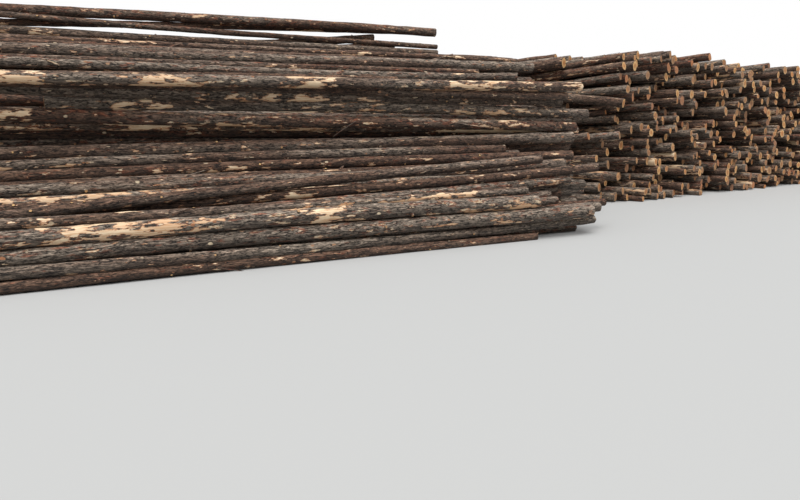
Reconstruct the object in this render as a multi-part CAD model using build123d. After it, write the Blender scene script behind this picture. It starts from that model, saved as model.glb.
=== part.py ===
"""A heap of long bark-covered logs, settled one on another in two decks that meet at an angle.

Millimetres and degrees. +X runs along the logs of the front deck, towards their end wall. +Y runs from the front of
the heap to its back, and +Z is up. The origin is the centre of the heap's footprint, on the ground.
"""

from build123d import *
from dataclasses import dataclass
import math
import os

import numpy as np

# One log
MEAN_LENGTH = 9900.0
LENGTH_SPREAD = 500.0
DIAMETER_SPREAD = 26.0
SMALLEST_DIAMETER = 115.0
LARGEST_DIAMETER = 255.0

# The whole heap
CREST_WAVE = 90.0
STRAY_HEIGHT = 150.0
WALL_BATTER = 0.1
OUTER_LOG_SHIFT = 2500.0

# The front deck: its end wall starts at the front corner of the heap
FRONT_HEIGHT = 3750.0
FRONT_CREST_FALL = 0.0
FRONT_DIAMETER = 160.0
FRONT_WALL_LENGTH = 8600.0
FRONT_WALL_HEADING = 40.0
FRONT_WALL_TURN = 92.0
FRONT_LOG_HEADING = 0.0
FRONT_FAN = 1.0
FRONT_RISE = 35.0
FRONT_BACK_FALL = 50.0
FRONT_STAGGER = 1800.0
FRONT_OUTER_SHARE = 0.15

# The far deck: it starts against the end wall of the front deck
FAR_CORNER_X = 3600.0
FAR_CORNER_Y = 2700.0
FAR_HEIGHT = 3100.0
FAR_CREST_FALL = 200.0
FAR_DIAMETER = 196.0
FAR_WALL_LENGTH = 11000.0
FAR_WALL_HEADING = 9.0
FAR_WALL_TURN = 0.0
FAR_LOG_HEADING = -65.0
FAR_FAN = -19.0
FAR_RISE = 85.0
FAR_BACK_FALL = 48.0
FAR_STAGGER = 700.0
FAR_OUTER_SHARE = 0.15

# How the logs lie
CLEARANCE = 0.3
HEADING_SPREAD = 1.1
DROP_PITCH = 4.5
SETTLED_PITCH = 9.0
SETTLE_STEPS = (90.0, 40.0, 20.0, 8.0)
ROLLS = ((1, 1), (-1, -1), (1, 0), (-1, 0), (0, 1), (0, -1))
DROPS_COMPARED = 10
MISSES_ALLOWED = 50
COARSE_STATION = 400.0
FINE_STATION = 16.0
SEED = 3

# Named groups of logs
BAYS = 4
TIERS = 6


def direction(degrees):
    """Unit vector in plan for a heading, anticlockwise from +X."""
    return np.array([math.cos(math.radians(degrees)), math.sin(math.radians(degrees))])


@dataclass(frozen=True)
class Deck:
    """Rows of logs side by side, whose ends make a wall along an arc in plan.

    The roof line is given along the wall: it rises from the corner, falls along the crest and ends in a steeper fall.
    """

    name: str
    corner: tuple[float, float]
    height: float
    crest_fall: float
    diameter: float
    wall_length: float
    wall_heading: float
    wall_turn: float
    log_heading: float
    fan: float
    rise: float
    back_fall: float
    stagger: float
    outer_share: float

    def wall_point(self, place):
        """Foot of the end wall at a distance along its arc from the corner."""
        if self.wall_turn == 0:
            return np.array(self.corner) + place * direction(self.wall_heading)
        rate = math.radians(self.wall_turn) / self.wall_length
        first = math.radians(self.wall_heading)
        now = first + rate * place
        arc = np.array([math.sin(now) - math.sin(first), math.cos(first) - math.cos(now)]) / rate
        return np.array(self.corner) + arc

    def heading(self, place):
        """Direction of the logs from their outer end to the wall, in degrees."""
        return self.log_heading + self.fan * place / self.wall_length

    def roof(self, place):
        """Largest height of the deck over a place on its wall."""
        share = place / self.wall_length
        crest = self.height - self.crest_fall * share + CREST_WAVE * math.sin(2 * math.pi * share)
        rise = place * math.tan(math.radians(self.rise))
        fall = (self.wall_length - place) * math.tan(math.radians(self.back_fall))
        return min(crest, rise, fall)


FRONT_DECK = Deck(
    name="front_deck",
    corner=(0.0, 0.0),
    height=FRONT_HEIGHT,
    crest_fall=FRONT_CREST_FALL,
    diameter=FRONT_DIAMETER,
    wall_length=FRONT_WALL_LENGTH,
    wall_heading=FRONT_WALL_HEADING,
    wall_turn=FRONT_WALL_TURN,
    log_heading=FRONT_LOG_HEADING,
    fan=FRONT_FAN,
    rise=FRONT_RISE,
    back_fall=FRONT_BACK_FALL,
    stagger=FRONT_STAGGER,
    outer_share=FRONT_OUTER_SHARE,
)
FAR_DECK = Deck(
    name="far_deck",
    corner=(FAR_CORNER_X, FAR_CORNER_Y),
    height=FAR_HEIGHT,
    crest_fall=FAR_CREST_FALL,
    diameter=FAR_DIAMETER,
    wall_length=FAR_WALL_LENGTH,
    wall_heading=FAR_WALL_HEADING,
    wall_turn=FAR_WALL_TURN,
    log_heading=FAR_LOG_HEADING,
    fan=FAR_FAN,
    rise=FAR_RISE,
    back_fall=FAR_BACK_FALL,
    stagger=FAR_STAGGER,
    outer_share=FAR_OUTER_SHARE,
)
DECKS = (FRONT_DECK, FAR_DECK)


@dataclass
class Log:
    """One log: the plan of its axis from its outer end to its wall end, its radius and the heights of both ends."""

    outer: np.ndarray
    wall: np.ndarray
    radius: float
    deck: Deck
    place: float
    outer_height: float = 0.0
    wall_height: float = 0.0

    def plan_length(self):
        return float(np.hypot(*(self.wall - self.outer)))

    def along(self):
        return (self.wall - self.outer) / self.plan_length()

    def side(self):
        along = self.along()
        return np.array([-along[1], along[0]])

    def middle_height(self):
        return (self.outer_height + self.wall_height) / 2

    def pitch(self, outer_height, wall_height):
        """Slope of the log in degrees with its ends at two heights."""
        return math.degrees(math.atan2(abs(wall_height - outer_height), self.plan_length()))

    def is_settled_well(self):
        """Whether the settled log is near enough to level and under the roof line, strays included."""
        low_enough = max(self.outer_height, self.wall_height) < self.deck.height + STRAY_HEIGHT
        return low_enough and self.pitch(self.outer_height, self.wall_height) < SETTLED_PITCH

    def axis(self):
        """Both ends of the axis as points in space."""
        return np.array([[*self.outer, self.outer_height], [*self.wall, self.wall_height]])

    def moved(self, outer_shift, wall_shift):
        """The same log, not yet settled, with its ends moved by two plan vectors."""
        return Log(self.outer + outer_shift, self.wall + wall_shift, self.radius, self.deck, self.place)


class Heap:
    """Logs that have settled, and the search for the place where the next one comes to rest."""

    def __init__(self):
        self.logs = []
        self.start = np.zeros((0, 3))
        self.unit = np.zeros((0, 3))
        self.span = np.zeros(0)
        self.radius = np.zeros(0)

    def add(self, log):
        ends = log.axis()
        span = np.linalg.norm(ends[1] - ends[0])
        self.start = np.vstack((self.start, ends[0]))
        self.unit = np.vstack((self.unit, (ends[1] - ends[0]) / span))
        self.span = np.append(self.span, span)
        self.radius = np.append(self.radius, log.radius)
        self.logs.append(log)

    def near(self, log, reach):
        """Numbers of the settled logs that pass within a plan distance of a log."""
        along, side = log.along(), log.side()
        starts = self.start[:, :2] - log.outer
        ends = starts + self.unit[:, :2] * self.span[:, None]
        a, b = starts @ side, ends @ side
        p, q = starts @ along, ends @ along
        beside = (np.minimum(a, b) < reach) & (np.maximum(a, b) > -reach)
        abreast = (np.minimum(p, q) < log.plan_length() + reach) & (np.maximum(p, q) > -reach)
        return np.nonzero(beside & abreast)[0]

    def floor_under(self, log, near, shares):
        """Lowest height of the axis at each station for which the log clears the ground and the logs below.

        A settled log counts as a round bar with a ball of its radius at each end.
        """
        points = log.outer + shares[:, None] * (log.wall - log.outer)
        if not len(near):
            return np.full(len(shares), log.radius)
        start, unit, span = self.start[near], self.unit[near], self.span[near]
        apart = log.radius + self.radius[near] + CLEARANCE
        offset = points[:, None, :] - start[None, :, :2]
        along = offset[..., 0] * unit[:, 0] + offset[..., 1] * unit[:, 1]
        away = offset[..., 0] ** 2 + offset[..., 1] ** 2
        level = 1 - unit[:, 2] ** 2
        lean = along * unit[:, 2]
        beside = lean**2 - level * (away - along**2 - apart**2)
        over_bar = start[:, 2] + (lean + np.sqrt(np.maximum(beside, 0))) / level
        foot = np.clip(along / level, 0, span)
        round_end = apart**2 - away + 2 * foot * along - foot**2 * level
        over_ball = start[:, 2] + foot * unit[:, 2] + np.sqrt(np.maximum(round_end, 0))
        past_end = (foot == 0) | (foot == span)
        heights = np.where(past_end, over_ball, over_bar)
        meets = np.where(past_end, round_end > 0, beside > 0)
        return np.maximum(np.where(meets, heights, 0).max(axis=1), log.radius)

    def rest(self, log, near, station):
        """Heights of both ends of the log when it lies on two supports, one each side of its middle."""
        half = max(int(log.plan_length() / station / 2), 3)
        shares = np.linspace(0, 1, 2 * half)
        floor = self.floor_under(log, near, shares)
        left, right = shares[:half], shares[half:]
        rise = (floor[None, half:] - floor[:half, None]) / (right[None, :] - left[:, None])
        middle = floor[:half, None] + rise * (0.5 - left[:, None])
        i, j = np.unravel_index(np.argmax(middle), middle.shape)
        outer = floor[i] - rise[i, j] * left[i]
        return outer, outer + rise[i, j]

    def lies_at(self, log, near):
        """Height of the middle of the log at rest, from widely spaced stations."""
        return sum(self.rest(log, near, COARSE_STATION)) / 2

    def settle(self, log):
        """Roll the log sideways, step by step, until its middle can go no lower."""
        near = self.near(log, 2.5 * LARGEST_DIAMETER)
        best = self.lies_at(log, near)
        for step in SETTLE_STEPS:
            for outer_share, wall_share in ROLLS:
                side = step * log.side()
                trial = log.moved(outer_share * side, wall_share * side)
                height = self.lies_at(trial, near)
                while height < best - 0.5:
                    log, best = trial, height
                    trial = log.moved(outer_share * side, wall_share * side)
                    height = self.lies_at(trial, near)
        near = self.near(log, LARGEST_DIAMETER + CLEARANCE)
        log.outer_height, log.wall_height = self.rest(log, near, FINE_STATION)
        return log


def new_log(random, deck):
    """A log over a place on a deck's wall picked at random, before it settles."""
    place = random.uniform(0, deck.wall_length)
    length = MEAN_LENGTH + random.uniform(-1, 1) * LENGTH_SPREAD
    diameter = min(max(random.normal(deck.diameter, DIAMETER_SPREAD), SMALLEST_DIAMETER), LARGEST_DIAMETER)
    along = direction(deck.heading(place) + random.normal(0, HEADING_SPREAD))
    back = deck.stagger * random.uniform(0, 1) ** 2
    if random.random() < deck.outer_share:
        back += random.uniform(0.3, 1) * OUTER_LOG_SHIFT
    wall = deck.wall_point(place) - back * along
    return Log(wall - length * along, wall, diameter / 2, deck, place)


def lowest_drop(heap, random):
    """The one of a few random logs that would lie lowest, or None where each would break the roof line."""
    best, best_height = None, math.inf
    shares = [deck.wall_length for deck in DECKS]
    for _ in range(DROPS_COMPARED):
        deck = DECKS[0] if random.uniform(0, sum(shares)) < shares[0] else DECKS[1]
        log = new_log(random, deck)
        outer, wall = heap.rest(log, heap.near(log, LARGEST_DIAMETER), COARSE_STATION)
        middle = (outer + wall) / 2
        if log.pitch(outer, wall) < DROP_PITCH and middle < min(best_height, deck.roof(log.place)):
            back = -WALL_BATTER * middle * log.along()
            best, best_height = log.moved(back, back), middle
    return best


def build_heap():
    """Settle the logs one by one, until nearly all drops would break the roof line."""
    random = np.random.default_rng(SEED)
    heap = Heap()
    misses = 0
    while misses < MISSES_ALLOWED:
        log = lowest_drop(heap, random)
        if log is not None:
            log = heap.settle(log)
        if log is not None and log.is_settled_well():
            heap.add(log)
        else:
            misses += 1
    return heap.logs


def footprint_centre(logs):
    """Middle of the box round all the logs in plan."""
    lows, highs = [], []
    for log in logs:
        ends = log.axis()
        unit = (ends[1] - ends[0]) / np.linalg.norm(ends[1] - ends[0])
        reach = log.radius * np.sqrt(1 - unit[:2] ** 2)
        lows.append(ends[:, :2].min(axis=0) - reach)
        highs.append(ends[:, :2].max(axis=0) + reach)
    return (np.min(lows, axis=0) + np.max(highs, axis=0)) / 2


def log_solid(log, centre):
    """The solid of one settled log, about the centre of the heap's footprint."""
    ends = log.axis()
    ends[:, :2] -= centre
    run = ends[1] - ends[0]
    plane = Plane(origin=tuple(ends[0]), z_dir=tuple(run))
    return Solid.make_cylinder(log.radius, float(np.linalg.norm(run)), plane)


def grouped(logs):
    """The logs by named group: each deck in bays along its wall, and each bay in tiers of as many logs."""
    groups = {}
    for deck in DECKS:
        for bay in range(BAYS):
            inside = [log for log in logs if log.deck is deck and int(log.place / deck.wall_length * BAYS) == bay]
            inside.sort(key=Log.middle_height)
            for tier in range(TIERS):
                first, last = len(inside) * tier // TIERS, len(inside) * (tier + 1) // TIERS
                groups[f"{deck.name}_bay_{bay + 1}_tier_{tier + 1}"] = inside[first:last]
    return groups


def main():
    logs = build_heap()
    centre = footprint_centre(logs)
    os.makedirs("parts", exist_ok=True)
    for name, group in grouped(logs).items():
        export_step(Compound([log_solid(log, centre) for log in group]), f"parts/{name}.step")
    print(len(logs), "logs")


if __name__ == "__main__":
    main()
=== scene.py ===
"""Looks of a heap of logs: bark, peeled patches, knots, sawn ends and loose bark.

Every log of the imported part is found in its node's mesh and gets a log with bark in its place.
Logs in the open are modelled finely, logs that only peep out more plainly, and logs inside the
heap most plainly.
"""

from __future__ import annotations

import logging
import math
from dataclasses import dataclass, field
from enum import Enum
from typing import Union

import bpy
import numpy as np
from mathutils import Matrix, Vector
from mathutils.kdtree import KDTree


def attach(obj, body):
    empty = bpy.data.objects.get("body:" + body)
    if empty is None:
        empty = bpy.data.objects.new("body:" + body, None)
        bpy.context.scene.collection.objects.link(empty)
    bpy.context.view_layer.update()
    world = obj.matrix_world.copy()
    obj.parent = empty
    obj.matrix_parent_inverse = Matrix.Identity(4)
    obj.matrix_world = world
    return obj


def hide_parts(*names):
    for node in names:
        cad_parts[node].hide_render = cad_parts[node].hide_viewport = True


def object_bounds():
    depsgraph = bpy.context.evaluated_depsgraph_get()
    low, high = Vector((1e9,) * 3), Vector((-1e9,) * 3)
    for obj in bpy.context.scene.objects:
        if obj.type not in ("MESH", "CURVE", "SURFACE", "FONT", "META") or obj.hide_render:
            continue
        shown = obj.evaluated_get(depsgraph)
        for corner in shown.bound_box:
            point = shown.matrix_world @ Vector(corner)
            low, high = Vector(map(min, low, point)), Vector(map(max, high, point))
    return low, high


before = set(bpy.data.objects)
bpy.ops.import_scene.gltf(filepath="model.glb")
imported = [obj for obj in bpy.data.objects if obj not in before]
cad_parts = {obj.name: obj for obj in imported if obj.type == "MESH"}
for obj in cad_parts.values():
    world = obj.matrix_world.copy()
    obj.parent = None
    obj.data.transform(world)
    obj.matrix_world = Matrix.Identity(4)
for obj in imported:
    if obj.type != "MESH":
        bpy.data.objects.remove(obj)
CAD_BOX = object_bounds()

BODY = "root"
SEED = 11
PLACE = "log_place"
TINT = "log_tint"
MERGE_DISTANCE = 1e-5
PATTERN_RADIUS = 0.08
QUAD_CORNERS = 4

Colour = tuple[float, float, float]
Pair = tuple[float, float]
Given = Union["Value", bpy.types.NodeSocket, float, tuple]
log_book = logging.getLogger("heap_of_logs")


def paint(red: int, green: int, blue: int) -> Colour:
    """Turns a display colour into the linear colour that shaders take.

    Args:
        red: Red from 0 to 255.
        green: Green from 0 to 255.
        blue: Blue from 0 to 255.

    Returns:
        The linear colour.
    """
    return tuple(((part / 255 + 0.055) / 1.055) ** 2.4 for part in (red, green, blue))


def select_only(*objects: bpy.types.Object) -> None:
    """Selects some objects and nothing else, the first of them active.

    Args:
        objects: What to select.
    """
    bpy.ops.object.select_all(action="DESELECT")
    for item in objects:
        item.select_set(True)
    bpy.context.view_layer.objects.active = objects[0]


def pick(item: bpy.types.Object, kind: str, chosen: np.ndarray) -> None:
    """Enters edit mode on an object with some of its edges or faces selected.

    Args:
        item: A mesh object.
        kind: EDGE or FACE.
        chosen: One flag for each edge or face.
    """
    select_only(item)
    bpy.ops.object.mode_set(mode="EDIT")
    bpy.ops.mesh.select_mode(type=kind)
    bpy.ops.mesh.select_all(action="DESELECT")
    bpy.ops.object.mode_set(mode="OBJECT")
    parts = item.data.edges if kind == "EDGE" else item.data.polygons
    parts.foreach_set("select", chosen)
    bpy.ops.object.mode_set(mode="EDIT")


def points_of(mesh: bpy.types.Mesh) -> np.ndarray:
    """Reads a mesh's vertices.

    Args:
        mesh: The mesh.

    Returns:
        An array of points.
    """
    points = np.empty(len(mesh.vertices) * 3)
    mesh.vertices.foreach_get("co", points)
    return points.reshape(-1, 3)


class Value:
    """A number in a material. An expression on values adds its Math nodes."""

    def __init__(self, shader: Shader, socket: bpy.types.NodeSocket) -> None:
        """Wraps an output socket of a shader."""
        self.shader = shader
        self.socket = socket

    def _math(self, operation: str, *given: Given) -> Value:
        """Adds one Math node and returns its output."""
        inputs = dict(enumerate(given))
        node = self.shader.node("ShaderNodeMath", {"operation": operation}, inputs)
        return Value(self.shader, node.outputs[0])

    def __add__(self, other: Given) -> Value:
        """Sum."""
        return self._math("ADD", self, other)

    __radd__ = __add__

    def __mul__(self, other: Given) -> Value:
        """Product."""
        return self._math("MULTIPLY", self, other)

    __rmul__ = __mul__

    def __sub__(self, other: Given) -> Value:
        """Difference."""
        return self._math("SUBTRACT", self, other)

    def __rsub__(self, other: Given) -> Value:
        """Difference with the value on the right."""
        return self._math("SUBTRACT", other, self)

    def __pow__(self, other: Given) -> Value:
        """Power."""
        return self._math("POWER", self, other)

    def sine(self) -> Value:
        """Sine of the value in radians."""
        return self._math("SINE", self)

    def angle_to(self, other: Value) -> Value:
        """Angle of the point whose height is this value and whose reach is the other."""
        return self._math("ARCTAN2", self, other)

    def step(self, low: Given, high: Given) -> Value:
        """Rises smoothly from 0 at one level to 1 at another."""
        node = self.shader.node(
            "ShaderNodeMapRange",
            {"interpolation_type": "SMOOTHSTEP"},
            {"Value": self, "From Min": low, "From Max": high},
        )
        return Value(self.shader, node.outputs[0])


class Shader:
    """The node tree of one material, with the few kinds of node that the finishes use."""

    def __init__(self, name: str) -> None:
        """Makes an empty material with a Principled shader."""
        self.material = bpy.data.materials.new(name)
        self.material.use_nodes = True
        self.tree = self.material.node_tree
        self.surface = self.tree.nodes["Principled BSDF"]

    def node(self, kind: str, settings: dict, inputs: dict) -> bpy.types.Node:
        """Adds a node.

        Args:
            kind: The node's type.
            settings: Properties that are set first, by name.
            inputs: Numbers, colours, values or sockets for its inputs, by name or number.

        Returns:
            The node.
        """
        node = self.tree.nodes.new(kind)
        for name, setting in settings.items():
            setattr(node, name, setting)
        for key, given in inputs.items():
            if isinstance(given, Value):
                given = given.socket
            if isinstance(given, bpy.types.NodeSocket):
                self.tree.links.new(given, node.inputs[key])
            else:
                node.inputs[key].default_value = given
        return node

    def attribute(self, name: str) -> bpy.types.NodeSocket:
        """Reads a vector attribute of the mesh."""
        return self.node("ShaderNodeAttribute", {"attribute_name": name}, {}).outputs["Vector"]

    def parts(self, vector: bpy.types.NodeSocket) -> list[Value]:
        """Splits a vector into its three numbers."""
        node = self.node("ShaderNodeSeparateXYZ", {}, {0: vector})
        return [Value(self, output) for output in node.outputs]

    def stretch(self, vector: bpy.types.NodeSocket, scale: Pair) -> bpy.types.NodeSocket:
        """Scales a place on a log, for a pattern that is longer along the log than across it.

        Args:
            vector: The place on the log in metres, along it and across it.
            scale: Cells of the pattern in a metre along the log and across it.

        Returns:
            The scaled place.
        """
        along, across = scale
        inputs = {0: vector, 1: (along, across, across)}
        return self.node("ShaderNodeVectorMath", {"operation": "MULTIPLY"}, inputs).outputs[0]

    def shifted(
        self, vector: bpy.types.NodeSocket, by: bpy.types.NodeSocket, share: float
    ) -> bpy.types.NodeSocket:
        """Adds a share of another vector to a vector."""
        inputs = {0: by, 1: (share, share, share), 2: vector}
        return self.node("ShaderNodeVectorMath", {"operation": "MULTIPLY_ADD"}, inputs).outputs[0]

    def noise(
        self, vector: bpy.types.NodeSocket, detail: float = 3.0, rough: float = 0.5
    ) -> bpy.types.Node:
        """Adds a noise texture at the scale of the vector."""
        inputs = {"Vector": vector, "Scale": 1.0, "Detail": detail, "Roughness": rough}
        return self.node("ShaderNodeTexNoise", {}, inputs)

    def speck(self, vector: bpy.types.NodeSocket, detail: float = 3.0, rough: float = 0.5) -> Value:
        """A noise as a number from 0 to 1."""
        return Value(self, self.noise(vector, detail, rough).outputs[0])

    def cracks(self, vector: bpy.types.NodeSocket) -> Value:
        """Distance from the cracks between cells, 0 on a crack."""
        settings, inputs = {"feature": "DISTANCE_TO_EDGE"}, {"Vector": vector, "Scale": 1.0}
        node = self.node("ShaderNodeTexVoronoi", settings, inputs)
        return Value(self, node.outputs["Distance"])

    def mix(self, share: Given, first: Given, second: Given) -> bpy.types.NodeSocket:
        """Blends two colours.

        Args:
            share: How much of the second colour.
            first: A colour or a colour socket.
            second: A colour or a colour socket.

        Returns:
            The blended colour's socket.
        """
        colours = [
            (*given, 1.0) if isinstance(given, tuple) else given for given in (first, second)
        ]
        inputs = {0: share, 6: colours[0], 7: colours[1]}
        return self.node("ShaderNodeMix", {"data_type": "RGBA"}, inputs).outputs[2]

    def shade(self, colour: bpy.types.NodeSocket, amount: Value) -> bpy.types.NodeSocket:
        """Multiplies a colour by a number."""
        grey = self.node("ShaderNodeCombineXYZ", {}, {0: amount, 1: amount, 2: amount}).outputs[0]
        inputs = {0: colour, 1: grey}
        return self.node("ShaderNodeVectorMath", {"operation": "MULTIPLY"}, inputs).outputs[0]

    def spots(self, vector: bpy.types.NodeSocket, radius: float) -> Value:
        """Scattered round spots, 1 inside a spot whose radius is a share of their spacing."""
        settings, inputs = {"feature": "F1"}, {"Vector": vector, "Scale": 1.0}
        node = self.node("ShaderNodeTexVoronoi", settings, inputs)
        return 1.0 - Value(self, node.outputs["Distance"]).step(radius * 0.7, radius)

    def facing_up(self) -> Value:
        """How far the surface faces up, from -1 to 1."""
        return self.parts(self.node("ShaderNodeNewGeometry", {}, {}).outputs["Normal"])[2]

    def relief(self, height: Value, depth: float) -> None:
        """Sends a height to the surface's normal.

        Args:
            height: Height from 0 to 1.
            depth: Depth of the relief in metres.
        """
        inputs = {"Height": height, "Distance": depth, "Strength": 1.0}
        bump = self.node("ShaderNodeBump", {}, inputs)
        self.tree.links.new(bump.outputs[0], self.surface.inputs["Normal"])

    def finish(self, colour: bpy.types.NodeSocket, roughness: Value) -> bpy.types.Material:
        """Sends a colour and a roughness to the surface and returns the material."""
        self.tree.links.new(colour, self.surface.inputs["Base Color"])
        self.tree.links.new(roughness.socket, self.surface.inputs["Roughness"])
        return self.material


@dataclass(frozen=True)
class BarkFinish:
    """Weathered conifer bark in plates, with red-brown flakes, scuffs and long peeled patches."""

    fissure: Colour = paint(26, 20, 17)
    brown: Colour = paint(108, 82, 66)
    grey: Colour = paint(138, 124, 110)
    rust: Colour = paint(138, 80, 56)
    inner: Colour = paint(176, 118, 80)
    wood: Colour = paint(236, 214, 180)
    old_wood: Colour = paint(198, 150, 108)
    relief: float = 0.02
    bark_roughness: float = 0.92
    wood_roughness: float = 0.6
    wander_scale: Pair = (6.0, 20.0)
    plate_scale: Pair = (11.0, 38.0)
    furrow_scale: Pair = (7.0, 36.0)
    flake_scale: Pair = (16.0, 44.0)
    broad_scale: Pair = (0.4, 5.0)
    rust_scale: Pair = (4.5, 20.0)
    scuff_scale: Pair = (4.5, 17.0)
    knot_scale: Pair = (3.2, 5.0)
    knot_radius: float = 0.11
    run_scale: Pair = (0.5, 1.0)
    strip_scale: Pair = (0.6, 8.0)
    tatter_scale: Pair = (4.0, 15.0)
    grain_scale: Pair = (5.0, 120.0)
    bared_level: float = 0.622
    bared_fall: float = 0.16

    def build(self) -> bpy.types.Material:
        """Makes the material.

        Returns:
            A material that reads the place on the log and the log's tint.
        """
        shader = Shader("bark")
        place = shader.attribute(PLACE)
        tone, peel, warmth = shader.parts(shader.attribute(TINT))
        # Colour is scaled by how far the surface faces up: lighter on the tops and darker
        # underneath. This is painted top light and painted shade below, partly settled dust on the
        # tops.
        dust_and_painted_top_light = shader.facing_up().step(-0.4, 0.9)
        wander = shader.noise(shader.stretch(place, self.wander_scale), 3.0).outputs["Color"]
        plates = shader.shifted(shader.stretch(place, self.plate_scale), wander, 1.6)
        plates = shader.cracks(plates).step(0.0, 0.3)
        furrows = shader.shifted(shader.stretch(place, self.furrow_scale), wander, 3.0)
        furrows = shader.speck(furrows, 4.0, 0.7).step(0.4, 0.58)
        flakes = shader.speck(shader.stretch(place, self.flake_scale), 4.0, 0.75)
        broad = shader.speck(shader.stretch(place, self.broad_scale), 2.0)
        bark = shader.mix((broad + tone * 0.5 - 0.25).step(0.3, 0.7), self.brown, self.grey)
        rusty = shader.speck(shader.stretch(place, self.rust_scale), 3.0, 0.6) + warmth * 0.08
        bark = shader.mix(rusty.step(0.56, 0.66) * 0.75, bark, self.rust)
        # The flake brightness is multiplied by 0.7 underneath, rising to 1.75 on top: painted top
        # light and painted shade below, with some settled dust.
        light = (flakes * 2.6 + broad * 0.5 - 0.42) * (dust_and_painted_top_light * 1.05 + 0.7)
        bark = shader.shade(bark, light)
        bark = shader.mix(plates * 0.35 + furrows * 0.65, self.fissure, bark)
        scuffs = shader.speck(shader.stretch(place, self.scuff_scale), 4.0, 0.62)
        scuffs = (scuffs + peel * 0.05 + broad * 0.16).step(0.74, 0.765)
        scuffed = shader.mix(flakes.step(0.4, 0.55), self.inner, self.wood)
        bark = shader.mix(scuffs * 0.85, bark, scuffed)
        knots = shader.shifted(shader.stretch(place, self.knot_scale), wander, 0.15)
        knots = shader.spots(knots, self.knot_radius)
        cut = shader.mix(broad.step(0.4, 0.6), self.wood, self.inner)
        bark = shader.mix(knots * 0.8, bark, cut)
        strip = shader.speck(shader.stretch(place, self.strip_scale), 3.0) * 0.35
        strip = strip + shader.speck(shader.stretch(place, self.tatter_scale), 5.0, 0.62) * 0.65
        run = shader.speck(shader.stretch(place, self.run_scale), 1.0).step(0.4, 0.6)
        edge = self.bared_level - peel * run * self.bared_fall
        bared = strip.step(edge, edge + 0.006)
        core = strip.step(edge + 0.008, edge + 0.03)
        grain = shader.speck(shader.stretch(place, self.grain_scale), 3.0)
        fresh = grain.step(0.3, 0.6) * (1.0 - broad.step(0.45, 0.7) * 0.6)
        # Peeled wood is lighter on top and darker below: painted top light and painted shade, with
        # some settled dust.
        wood = shader.shade(shader.mix(fresh, self.old_wood, self.wood), dust_and_painted_top_light * 0.3 + 0.85)
        colour = shader.mix(bared, bark, shader.mix(core, self.inner, wood))
        height = (plates * 0.3 + furrows * 0.4 + flakes * 0.3) * (1.0 - bared)
        height = height + bared * 0.15 + grain * 0.05
        shader.relief(height, self.relief)
        roughness = self.bark_roughness - bared * (self.bark_roughness - self.wood_roughness)
        return shader.finish(colour, roughness)


@dataclass(frozen=True)
class SawnFinish:
    """Sawn end grain: growth rings round the pith, drying cracks and weathering."""

    heart: Colour = paint(190, 124, 72)
    sap: Colour = paint(220, 178, 120)
    red: Colour = paint(172, 104, 68)
    ring: Colour = paint(150, 96, 56)
    weathered: Colour = paint(136, 100, 76)
    crack: Colour = paint(60, 40, 28)
    ring_width: float = 0.0065
    blotch_scale: Pair = (1.0, 14.0)
    relief: float = 0.003
    roughness: float = 0.75

    def build(self) -> bpy.types.Material:
        """Makes the material.

        Returns:
            A material that reads the place on the log and the log's tint.
        """
        shader = Shader("sawn_end")
        place = shader.attribute(PLACE)
        tone, _, warmth = shader.parts(shader.attribute(TINT))
        _, side, up = shader.parts(place)
        blotch = shader.speck(shader.stretch(place, self.blotch_scale), 3.0)
        reach = (side * side + up * up) ** 0.5 + blotch * 0.012
        rings = (reach * (2 * math.pi / self.ring_width)).sine() * 0.5 + 0.5
        colour = shader.mix((reach + warmth * 0.02).step(0.03, 0.075), self.heart, self.sap)
        colour = shader.mix((warmth + blotch * 0.6).step(0.5, 1.2) * 0.8, colour, self.red)
        colour = shader.mix(rings * 0.3, colour, self.ring)
        spokes = {0: up.angle_to(side) * 3.0, 1: tone * 60.0, 2: reach * 4.0}
        turned = shader.node("ShaderNodeCombineXYZ", {}, spokes).outputs[0]
        split = shader.speck(turned, 2.0).step(0.66, 0.7)
        dirt = (blotch + tone * 0.5).step(0.55, 1.0)
        colour = shader.mix(dirt * 0.75, colour, self.weathered)
        colour = shader.mix(split * 0.8, colour, self.crack)
        shader.relief(rings * 0.3 + blotch * 0.4 + 0.3 - split * 0.3, self.relief)
        return shader.finish(colour, self.roughness + blotch * 0.1)


class Exposure(Enum):
    """How much of a log lies in the open."""

    FACE = "in the open along much of its length"
    SKIN = "showing in places, or at one end"
    CORE = "inside the heap"


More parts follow.
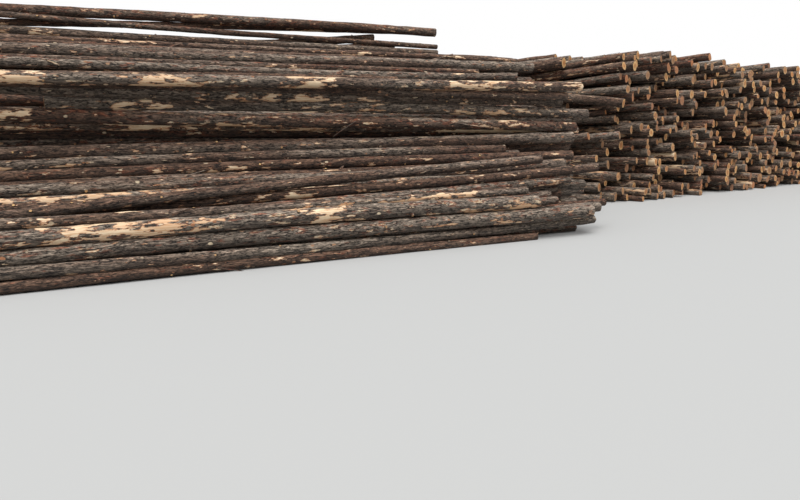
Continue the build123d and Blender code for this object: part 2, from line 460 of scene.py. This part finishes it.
@dataclass
class LogPattern:
    """One log with bark, knots and sawn ends, modelled about the origin along X, to be copied."""

    name: str
    sides: int
    rings: int
    knots: int
    seed: int
    length: float = 9.0
    radius: float = PATTERN_RADIUS
    rim: float = 0.007
    rim_height: float = 0.0015
    lumps: float = 0.006
    knot_radius: float = 0.02
    knot_foot: float = 1.5
    knot_tip: float = 0.75
    knot_height: float = 0.034
    knot_sunk: float = 0.22
    knot_reach: float = 0.47
    knot_sides: int = 7
    knot_sizes: Pair = (0.7, 1.2)
    tip_facing: float = 0.9
    sharp_angle: float = 50.0

    def build(self, bark: bpy.types.Material, sawn: bpy.types.Material) -> bpy.types.Object:
        """Models the log.

        Args:
            bark: Material of the sides.
            sawn: Material of the ends and of the knots.

        Returns:
            The pattern's object, with its transforms applied.
        """
        bpy.ops.object.select_all(action="DESELECT")
        bpy.ops.mesh.primitive_cylinder_add(
            vertices=self.sides,
            radius=self.radius,
            depth=self.length,
            rotation=(0, math.pi / 2, 0),
        )
        bpy.ops.object.transform_apply()
        item = bpy.context.active_object
        item.name = self.name
        item.data.materials.append(bark)
        item.data.materials.append(sawn)
        self._cut_rings(item)
        self._roughen(item)
        self._saw_ends(item)
        stubs = self._knots(item)
        if stubs:
            select_only(item, *stubs)
            bpy.ops.object.join()
        select_only(item)
        bpy.ops.object.shade_smooth_by_angle(angle=math.radians(self.sharp_angle))
        return item

    def _cut_rings(self, item: bpy.types.Object) -> None:
        """Divides the sides lengthwise.

        Args:
            item: The plain cylinder.
        """
        points = points_of(item.data)
        ends = np.empty(len(item.data.edges) * 2, dtype=np.int64)
        item.data.edges.foreach_get("vertices", ends)
        reach = np.ptp(points[ends.reshape(-1, 2), 0], axis=1)
        pick(item, "EDGE", reach > self.length / 2)
        bpy.ops.mesh.subdivide(number_cuts=self.rings - 1)
        bpy.ops.object.mode_set(mode="OBJECT")

    def _roughen(self, item: bpy.types.Object) -> None:
        """Makes the girth uneven.

        Args:
            item: The log with its rings cut.
        """
        select_only(item)
        bpy.ops.object.mode_set(mode="EDIT")
        bpy.ops.mesh.select_all(action="SELECT")
        bpy.ops.transform.vertex_random(offset=self.lumps, normal=1.0, seed=self.seed)
        bpy.ops.object.mode_set(mode="OBJECT")

    def _saw_ends(self, item: bpy.types.Object) -> None:
        """Gives each end a rim of bark round a disc of end grain.

        Args:
            item: The log with its ends closed by one face each.
        """
        corners = np.array([len(face.vertices) for face in item.data.polygons])
        pick(item, "FACE", corners > QUAD_CORNERS)
        bpy.ops.mesh.inset(thickness=self.rim, depth=self.rim_height)
        item.active_material_index = 1
        bpy.ops.object.material_slot_assign()
        bpy.ops.mesh.poke()
        bpy.ops.object.mode_set(mode="OBJECT")

    def _knots(self, item: bpy.types.Object) -> list[bpy.types.Object]:
        """Models the stubs of cut branches.

        Args:
            item: The log, whose materials they share.

        Returns:
            The stubs' objects.
        """
        chance = np.random.default_rng(self.seed)
        stubs = []
        for _ in range(self.knots):
            turn = chance.uniform(0, 2 * math.pi)
            reach = self.radius - self.knot_height * self.knot_sunk
            spot = (
                chance.uniform(-self.knot_reach, self.knot_reach) * self.length,
                reach * math.cos(turn),
                reach * math.sin(turn),
            )
            size = chance.uniform(*self.knot_sizes)
            bpy.ops.object.select_all(action="DESELECT")
            bpy.ops.mesh.primitive_cone_add(
                vertices=self.knot_sides,
                radius1=self.knot_radius * self.knot_foot * size,
                radius2=self.knot_radius * self.knot_tip * size,
                depth=self.knot_height * size,
                location=spot,
                rotation=(turn - math.pi / 2, 0, 0),
            )
            stub = bpy.context.active_object
            bpy.ops.object.transform_apply()
            for material in item.data.materials:
                stub.data.materials.append(material)
            outward = Vector((0, math.cos(turn), math.sin(turn)))
            for face in stub.data.polygons:
                face.material_index = int(face.normal.dot(outward) > self.tip_facing)
            stubs.append(stub)
        return stubs


@dataclass
class LaidLog:
    """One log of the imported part: its place and girth, and how much of it is in the open."""

    centre: np.ndarray
    along: np.ndarray
    length: float
    radius: float
    exposure: Exposure = Exposure.CORE
    open_spots: list[tuple[float, np.ndarray]] = field(default_factory=list)

    @classmethod
    def from_points(cls, points: np.ndarray) -> LaidLog:
        """Finds a log's axis and radius.

        Args:
            points: The points round both ends of the log.

        Returns:
            The log.
        """
        along = np.linalg.svd(points - points.mean(axis=0), full_matrices=False)[2][0]
        if along[np.argmax(np.abs(along))] < 0:
            along = -along
        reach = (points - points.mean(axis=0)) @ along
        first, last = points[reach < 0], points[reach > 0]
        ends = np.array([first.mean(axis=0), last.mean(axis=0)])
        radius = np.linalg.norm(last - ends[1], axis=1).mean()
        span = ends[1] - ends[0]
        length = float(np.linalg.norm(span))
        return cls(ends.mean(axis=0), span / length, length, float(radius))

    def across(self) -> tuple[np.ndarray, np.ndarray]:
        """Two unit vectors square to the log, the first level and the second upward."""
        level = np.cross((0.0, 0.0, 1.0), self.along)
        level /= np.linalg.norm(level)
        return level, np.cross(self.along, level)


def loose_logs(mesh: bpy.types.Mesh) -> list[LaidLog]:
    """Finds the separate logs in a node's mesh.

    Args:
        mesh: A mesh of separate closed cylinders.

    Returns:
        The logs, in the order of their places.
    """
    points = points_of(mesh)
    corners = np.empty(len(mesh.loops), dtype=np.int64)
    mesh.loops.foreach_get("vertex_index", corners)
    cells = np.round(points / MERGE_DISTANCE).astype(np.int64)
    keys, merged = np.unique(cells, axis=0, return_inverse=True)
    corners = merged.ravel()[corners].reshape(-1, 3)
    label = np.arange(len(keys))
    while True:
        lower = label.copy()
        np.minimum.at(lower, corners.ravel(), np.repeat(label[corners].min(axis=1), 3))
        lower = lower[lower]
        if np.array_equal(lower, label):
            break
        label = lower
    places = keys * MERGE_DISTANCE
    return [LaidLog.from_points(places[label == one]) for one in np.unique(label)]


@dataclass
class OpenAir:
    """Tells how much of a log lies in the open, by steps that leave it on all sides."""

    logs: list[LaidLog]
    spacing: float = 0.12
    stations: int = 12
    ways: int = 8
    steps: tuple[float, ...] = (0.1, 0.2, 0.32, 0.5, 0.8, 1.2)
    blocked_within: float = 0.1
    steepest_down: float = -0.3
    face_share: float = 0.1
    tree: KDTree = field(init=False)

    def __post_init__(self) -> None:
        """Gathers points along the axes of all logs into one tree."""
        points = []
        for log in self.logs:
            runs = np.arange(-log.length / 2, log.length / 2, self.spacing)
            points.extend(log.centre + np.outer(runs, log.along))
        self.tree = KDTree(len(points))
        for number, point in enumerate(points):
            self.tree.insert(point, number)
        self.tree.balance()

    def free(self, start: np.ndarray, way: np.ndarray) -> bool:
        """Whether steps away from a place meet no log."""
        nearest = (self.tree.find(start + step * way)[2] for step in self.steps)
        return all(distance > self.blocked_within for distance in nearest)

    def judge(self, log: LaidLog) -> None:
        """Finds the places on a log that lie in the open, and its exposure.

        Args:
            log: The log, which keeps the answers.
        """
        level, up = log.across()
        for share in (np.arange(self.stations) + 0.5) / self.stations - 0.5:
            for turn in np.arange(self.ways) * 2 * math.pi / self.ways:
                way = math.cos(turn) * level + math.sin(turn) * up
                start = log.centre + share * log.length * log.along + way * log.radius
                if way[2] > self.steepest_down and self.free(start, way):
                    log.open_spots.append((share, way))
        end = log.length / 2 * log.along
        if len(log.open_spots) > self.face_share * self.stations * self.ways:
            log.exposure = Exposure.FACE
        elif log.open_spots or any(
            self.free(log.centre + sign * end, sign * log.along) for sign in (-1, 1)
        ):
            log.exposure = Exposure.SKIN


def store(mesh: bpy.types.Mesh, name: str, vectors: np.ndarray) -> None:
    """Stores a vector for each point of a mesh.

    Args:
        mesh: The mesh.
        name: The attribute's name.
        vectors: One vector for each point.
    """
    mesh.attributes.new(name, "FLOAT_VECTOR", "POINT").data.foreach_set("vector", vectors.ravel())


def place_points(item: bpy.types.Object, points: np.ndarray) -> None:
    """Moves the points of a mesh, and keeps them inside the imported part's box.

    Args:
        item: The mesh object.
        points: The new places.
    """
    kept = np.clip(points, np.array(CAD_BOX[0]), np.array(CAD_BOX[1]))
    item.data.vertices.foreach_set("co", kept.ravel())


def copy_of(pattern: bpy.types.Object) -> bpy.types.Object:
    """Copies a pattern with its own mesh into the scene."""
    copy = pattern.copy()
    copy.data = pattern.data.copy()
    bpy.context.scene.collection.objects.link(copy)
    return copy


@dataclass
class BarkStrips:
    """Loose strips of bark, modelled flat along X and hung on logs in the open."""

    bark: bpy.types.Material
    length: float = 0.6
    width: float = 0.028
    thickness: float = 0.004
    cuts: int = 9
    most_on_a_log: int = 3
    lengths: Pair = (0.3, 1.2)
    girths: Pair = (0.4, 1.3)
    tilt: float = 0.25
    curl: float = 0.06
    lift: float = 0.05
    sag: float = 0.06
    root_width: float = 1.15
    narrowing: float = 0.7
    smooth_angle: float = 40.0
    pattern: bpy.types.Object = field(init=False)

    def __post_init__(self) -> None:
        """Models the strip that is copied."""
        bpy.ops.object.select_all(action="DESELECT")
        bpy.ops.mesh.primitive_plane_add(size=1.0)
        item = bpy.context.active_object
        item.name = "pattern_strip"
        bpy.ops.transform.resize(value=(self.length, self.width, 1.0))
        bpy.ops.object.transform_apply()
        item.data.materials.append(self.bark)
        points = points_of(item.data)
        ends = np.array([edge.vertices[:] for edge in item.data.edges])
        pick(item, "EDGE", np.ptp(points[ends, 0], axis=1) > self.length / 2)
        bpy.ops.mesh.subdivide(number_cuts=self.cuts)
        bpy.ops.object.mode_set(mode="OBJECT")
        wall = item.modifiers.new("wall", "SOLIDIFY")
        wall.thickness = self.thickness
        bpy.ops.object.modifier_apply(modifier=wall.name)
        bpy.ops.object.shade_smooth_by_angle(angle=math.radians(self.smooth_angle))
        self.pattern = item

    def hang(self, log: LaidLog, chance: np.random.Generator) -> list[bpy.types.Object]:
        """Hangs strips on a log.

        Args:
            log: A log in the open.
            chance: Random numbers.

        Returns:
            The strips, each with its place in its mesh.
        """
        strips = []
        for _ in range(chance.integers(self.most_on_a_log + 1)):
            share, way = log.open_spots[chance.integers(len(log.open_spots))]
            strip = copy_of(self.pattern)
            points = points_of(strip.data)
            size, girth = chance.uniform(*self.lengths), chance.uniform(*self.girths)
            run = points[:, 0] / self.length + 0.5
            tilt = chance.normal(0, self.tilt)
            side = np.cross(log.along, way)
            ahead = chance.choice((-1, 1)) * (math.cos(tilt) * log.along + math.sin(tilt) * side)
            beside = np.cross(ahead, way)
            lift = chance.uniform(0.1, 1.0) * self.lift * run**2
            curl = chance.uniform(-self.curl, self.curl) * run**2
            root = log.centre + share * log.length * log.along + way * (log.radius - self.thickness)
            width = self.root_width - run * self.narrowing
            laid = root + np.outer(run * self.length * size, ahead)
            laid += np.outer(points[:, 1] * girth * width + curl, beside)
            laid += np.outer(points[:, 2] + lift - (points[:, 1] ** 2) / log.radius, way)
            laid[:, 2] -= chance.uniform(0.2, 1.0) * self.sag * run**3
            place_points(strip, laid)
            start = chance.uniform(0, 100)
            store(strip.data, PLACE, points + (start, log.radius, 0.0))
            tint = (chance.random(), chance.uniform(0.1, 1.0), 1.0)
            store(strip.data, TINT, np.tile(tint, (len(points), 1)))
            strips.append(strip)
        return strips


@dataclass
class LogHeap:
    """The whole heap: patterns of logs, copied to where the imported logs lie, joined by node."""

    bark: bpy.types.Material
    sawn: bpy.types.Material
    sweep: float = 0.045
    sweep_level: float = 0.64
    wave_share: float = 0.4
    taper: float = 0.07
    slimmest: float = 0.97
    end_play: float = 0.012
    end_skew: float = 0.12
    end_power: int = 30
    place_range: float = 150.0
    peeled_share: float = 0.11
    peeled: Pair = (0.55, 1.1)
    patterns: dict[Exposure, list[bpy.types.Object]] = field(default_factory=dict)

    def build_patterns(self) -> None:
        """Models the logs that are copied: how many, then the sides, rings and knots of each."""
        plans = {
            Exposure.FACE: (6, 14, 40, 8),
            Exposure.SKIN: (3, 10, 14, 3),
            Exposure.CORE: (2, 8, 3, 0),
        }
        for exposure, (count, *plan) in plans.items():
            self.patterns[exposure] = []
            for number in range(count):
                name = f"pattern_{exposure.name.lower()}_{number}"
                pattern = LogPattern(name, *plan, seed=number + 1)
                self.patterns[exposure].append(pattern.build(self.bark, self.sawn))

    def lay(
        self, log: LaidLog, pattern: bpy.types.Object, chance: np.random.Generator
    ) -> bpy.types.Object:
        """Copies a pattern to the place of a log, with a sweep, a taper and a turn of its own.

        Args:
            log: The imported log.
            pattern: The pattern.
            chance: Random numbers.

        Returns:
            The copy, with its place in its mesh.
        """
        copy = copy_of(pattern)
        points = points_of(copy.data)
        half = np.abs(points[:, 0]).max()
        share = points[:, 0] / half
        turn = chance.uniform(0, 2 * math.pi)
        cosine, sine = math.cos(turn), math.sin(turn)
        turned = points[:, 1:] @ np.array([[cosine, sine], [-sine, cosine]])
        girth = log.radius / PATTERN_RADIUS * chance.uniform(self.slimmest, 1.0)
        girth = girth * (1 + chance.uniform(-1, 1) * self.taper * share)
        section = turned * girth[:, None]
        bow = chance.uniform(-1, 1, 2) * self.sweep
        wave = chance.uniform(-1, 1, 2) * self.sweep * self.wave_share
        line = np.outer(np.cos(share * math.pi / 2) - self.sweep_level, bow)
        line = line + np.outer(np.sin(share * math.pi), wave)
        skew = chance.uniform(-1, 1, 2) * self.end_skew * np.abs(share[:, None]) ** self.end_power
        run = share * (log.length / 2 - self.end_play) + np.clip(
            (section * skew).sum(axis=1), -self.end_play, self.end_play
        )
        level, up = log.across()
        place = line + section
        laid = log.centre + np.outer(run, log.along)
        laid = laid + np.outer(place[:, 0], level) + np.outer(place[:, 1], up)
        place_points(copy, laid)
        start = chance.uniform(0, self.place_range)
        store(copy.data, PLACE, np.column_stack((run + start, section)))
        much = chance.random() < self.peeled_share
        peel = chance.uniform(*self.peeled) if much else chance.beta(1.3, 4)
        tint = (chance.random(), peel, chance.uniform(-1, 1))
        store(copy.data, TINT, np.tile(tint, (len(laid), 1)))
        return copy

    def build(self) -> None:
        """Lays all logs, node by node, and clears the patterns away."""
        self.build_patterns()
        strips = BarkStrips(self.bark)
        laid = {name: loose_logs(node.data) for name, node in sorted(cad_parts.items())}
        air = OpenAir(sum(laid.values(), []))
        chance = np.random.default_rng(SEED)
        counts = dict.fromkeys(Exposure, 0)
        for name, logs in laid.items():
            copies = []
            for log in logs:
                air.judge(log)
                counts[log.exposure] += 1
                patterns = self.patterns[log.exposure]
                pattern = patterns[chance.integers(len(patterns))]
                copies.append(self.lay(log, pattern, chance))
                if log.exposure is Exposure.FACE:
                    copies += strips.hang(log, chance)
            select_only(*copies)
            bpy.ops.object.join()
            piece = copies[0]
            piece.name = f"{name}_with_bark"
            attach(piece, BODY)
            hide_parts(name)
            faces = len(piece.data.polygons)
            log_book.info("%s: %d logs, %d faces", piece.name, len(logs), faces)
        for pattern in [strips.pattern, *sum(self.patterns.values(), [])]:
            bpy.data.objects.remove(pattern)
        named = {exposure.name: count for exposure, count in counts.items()}
        log_book.info("exposure: %s", named)


@dataclass
class Studio:
    """Plain pale floor, soft overcast light and the camera."""

    eye: tuple[float, float, float] = (-9.6225, -18.3277, 1.9)
    heading: float = 28.7
    pitch: float = -9.6
    lens: float = 36.0
    far_clip: float = 1000.0
    floor_size: float = 4000.0
    floor_colour: Colour = (0.53, 0.53, 0.52)
    floor_roughness: float = 0.9
    sky_colour: Colour = (0.96, 0.98, 1.0)
    sky_strength: float = 0.52
    sun_strength: float = 2.8
    sun_angle: float = 60.0
    sun_tilt: float = 28.0
    sun_turn: float = -20.0

    def build(self) -> None:
        """Makes the floor, the lights and the camera."""
        self._floor()
        self._sky()
        self._sun()
        self._camera()

    def _floor(self) -> None:
        """Lays the floor under the heap."""
        bpy.ops.object.select_all(action="DESELECT")
        bpy.ops.mesh.primitive_plane_add(size=self.floor_size)
        floor = bpy.context.active_object
        floor.name = "floor"
        shader = Shader("floor")
        shader.surface.inputs["Base Color"].default_value = (*self.floor_colour, 1.0)
        shader.surface.inputs["Roughness"].default_value = self.floor_roughness
        floor.data.materials.append(shader.material)

    def _sky(self) -> None:
        """Lights the heap evenly, with white behind it."""
        world = bpy.data.worlds.new("sky")
        bpy.context.scene.world = world
        world.use_nodes = True
        tree = world.node_tree
        light = tree.nodes["Background"]
        light.inputs["Color"].default_value = (*self.sky_colour, 1.0)
        light.inputs["Strength"].default_value = self.sky_strength
        behind = tree.nodes.new("ShaderNodeBackground")
        behind.inputs["Color"].default_value = (1.0, 1.0, 1.0, 1.0)
        rays = tree.nodes.new("ShaderNodeLightPath")
        both = tree.nodes.new("ShaderNodeMixShader")
        tree.links.new(rays.outputs["Is Camera Ray"], both.inputs[0])
        tree.links.new(light.outputs[0], both.inputs[1])
        tree.links.new(behind.outputs[0], both.inputs[2])
        tree.links.new(both.outputs[0], tree.nodes["World Output"].inputs["Surface"])

    def _sun(self) -> None:
        """Adds the brightest part of an overcast sky."""
        lamp = bpy.data.lights.new("bright_cloud", "SUN")
        lamp.energy = self.sun_strength
        lamp.angle = math.radians(self.sun_angle)
        item = bpy.data.objects.new("bright_cloud", lamp)
        item.rotation_euler = (math.radians(self.sun_tilt), 0, math.radians(self.sun_turn))
        bpy.context.scene.collection.objects.link(item)

    def _camera(self) -> None:
        """Stands the camera where the heap is seen from."""
        heading, pitch = math.radians(self.heading), math.radians(self.pitch)
        level = math.cos(pitch)
        view = Vector((math.sin(heading) * level, math.cos(heading) * level, math.sin(pitch)))
        lens = bpy.data.cameras.new("camera")
        lens.lens = self.lens
        lens.clip_end = self.far_clip
        camera = bpy.data.objects.new("camera", lens)
        turned = view.to_track_quat("-Z", "Y").to_matrix().to_4x4()
        camera.matrix_world = Matrix.Translation(self.eye) @ turned
        bpy.context.scene.collection.objects.link(camera)
        bpy.context.scene.camera = camera
        bpy.context.scene.view_settings.view_transform = "Standard"


def main() -> None:
    """Builds the heap and the studio."""
    logging.basicConfig(level=logging.INFO, format="%(message)s")
    Studio().build()
    LogHeap(BarkFinish().build(), SawnFinish().build()).build()


if __name__ == "__main__":
    main()
